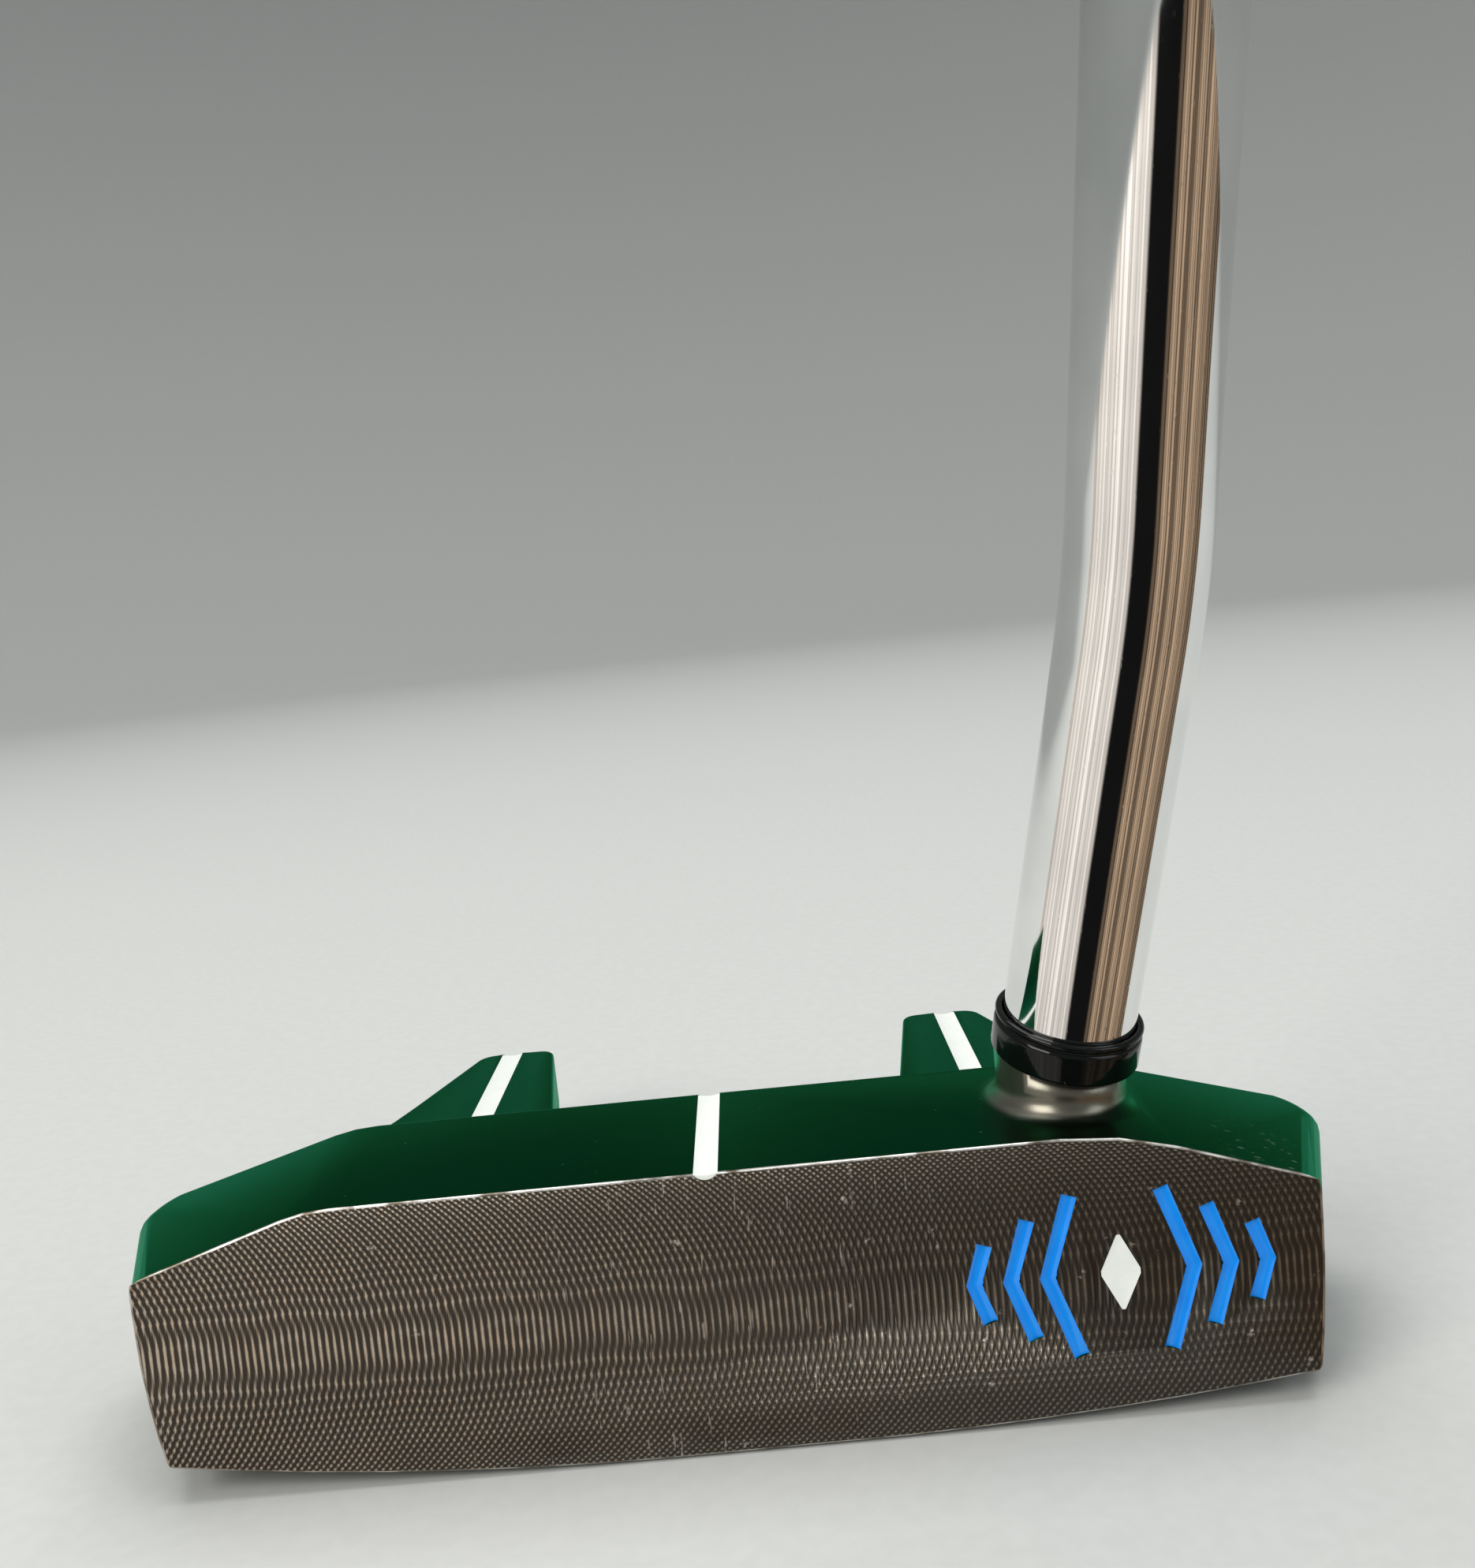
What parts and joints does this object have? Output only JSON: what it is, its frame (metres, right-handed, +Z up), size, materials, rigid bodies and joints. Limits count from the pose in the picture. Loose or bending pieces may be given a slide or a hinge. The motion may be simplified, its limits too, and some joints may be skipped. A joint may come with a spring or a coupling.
{
  "type": "putter",
  "caption": "Right-handed compact fanged mallet putter with a milled face, a double-bend shaft, an over-hosel ferrule and a flat-fronted rubber grip.",
  "frame": {"origin": "on the flat pad of the sole, under the sight line, where the head rests on the ground", "axes": "+X from toe to heel, +Y back from the striking face to the fang tips, +Z up from the ground"},
  "size_m": [0.3521, 0.097, 0.817],
  "materials": {
    "head_black": "satin",
    "paint_white": "gloss",
    "paint_blue": "gloss",
    "weight_steel": "turned",
    "nylon": "matt",
    "gloss_black": "gloss",
    "epoxy": "matt",
    "chrome": "mirror",
    "tape": "matt",
    "rubber": "textured",
    "cap_black": "matt"
  },
  "bodies": {
    "root": {"head_body": "head_black", "top_sight_line": "paint_white", "toe_fang_line": "paint_white", "heel_fang_line": "paint_white", "chevron_toe_inner": "paint_blue", "chevron_toe_middle": "paint_blue", "chevron_toe_outer": "paint_blue", "chevron_heel_inner": "paint_blue", "chevron_heel_middle": "paint_blue", "chevron_heel_outer": "paint_blue", "badge_lozenge": "paint_white", "toe_sole_weight": "weight_steel", "heel_sole_weight": "weight_steel", "toe_weight_washer": "nylon", "heel_weight_washer": "nylon", "ferrule": "gloss_black", "hosel_adhesive": "epoxy", "shaft": "chrome", "grip_tape": "tape", "grip": "rubber", "grip_cap": "cap_black"}
  },
  "joints": []
}
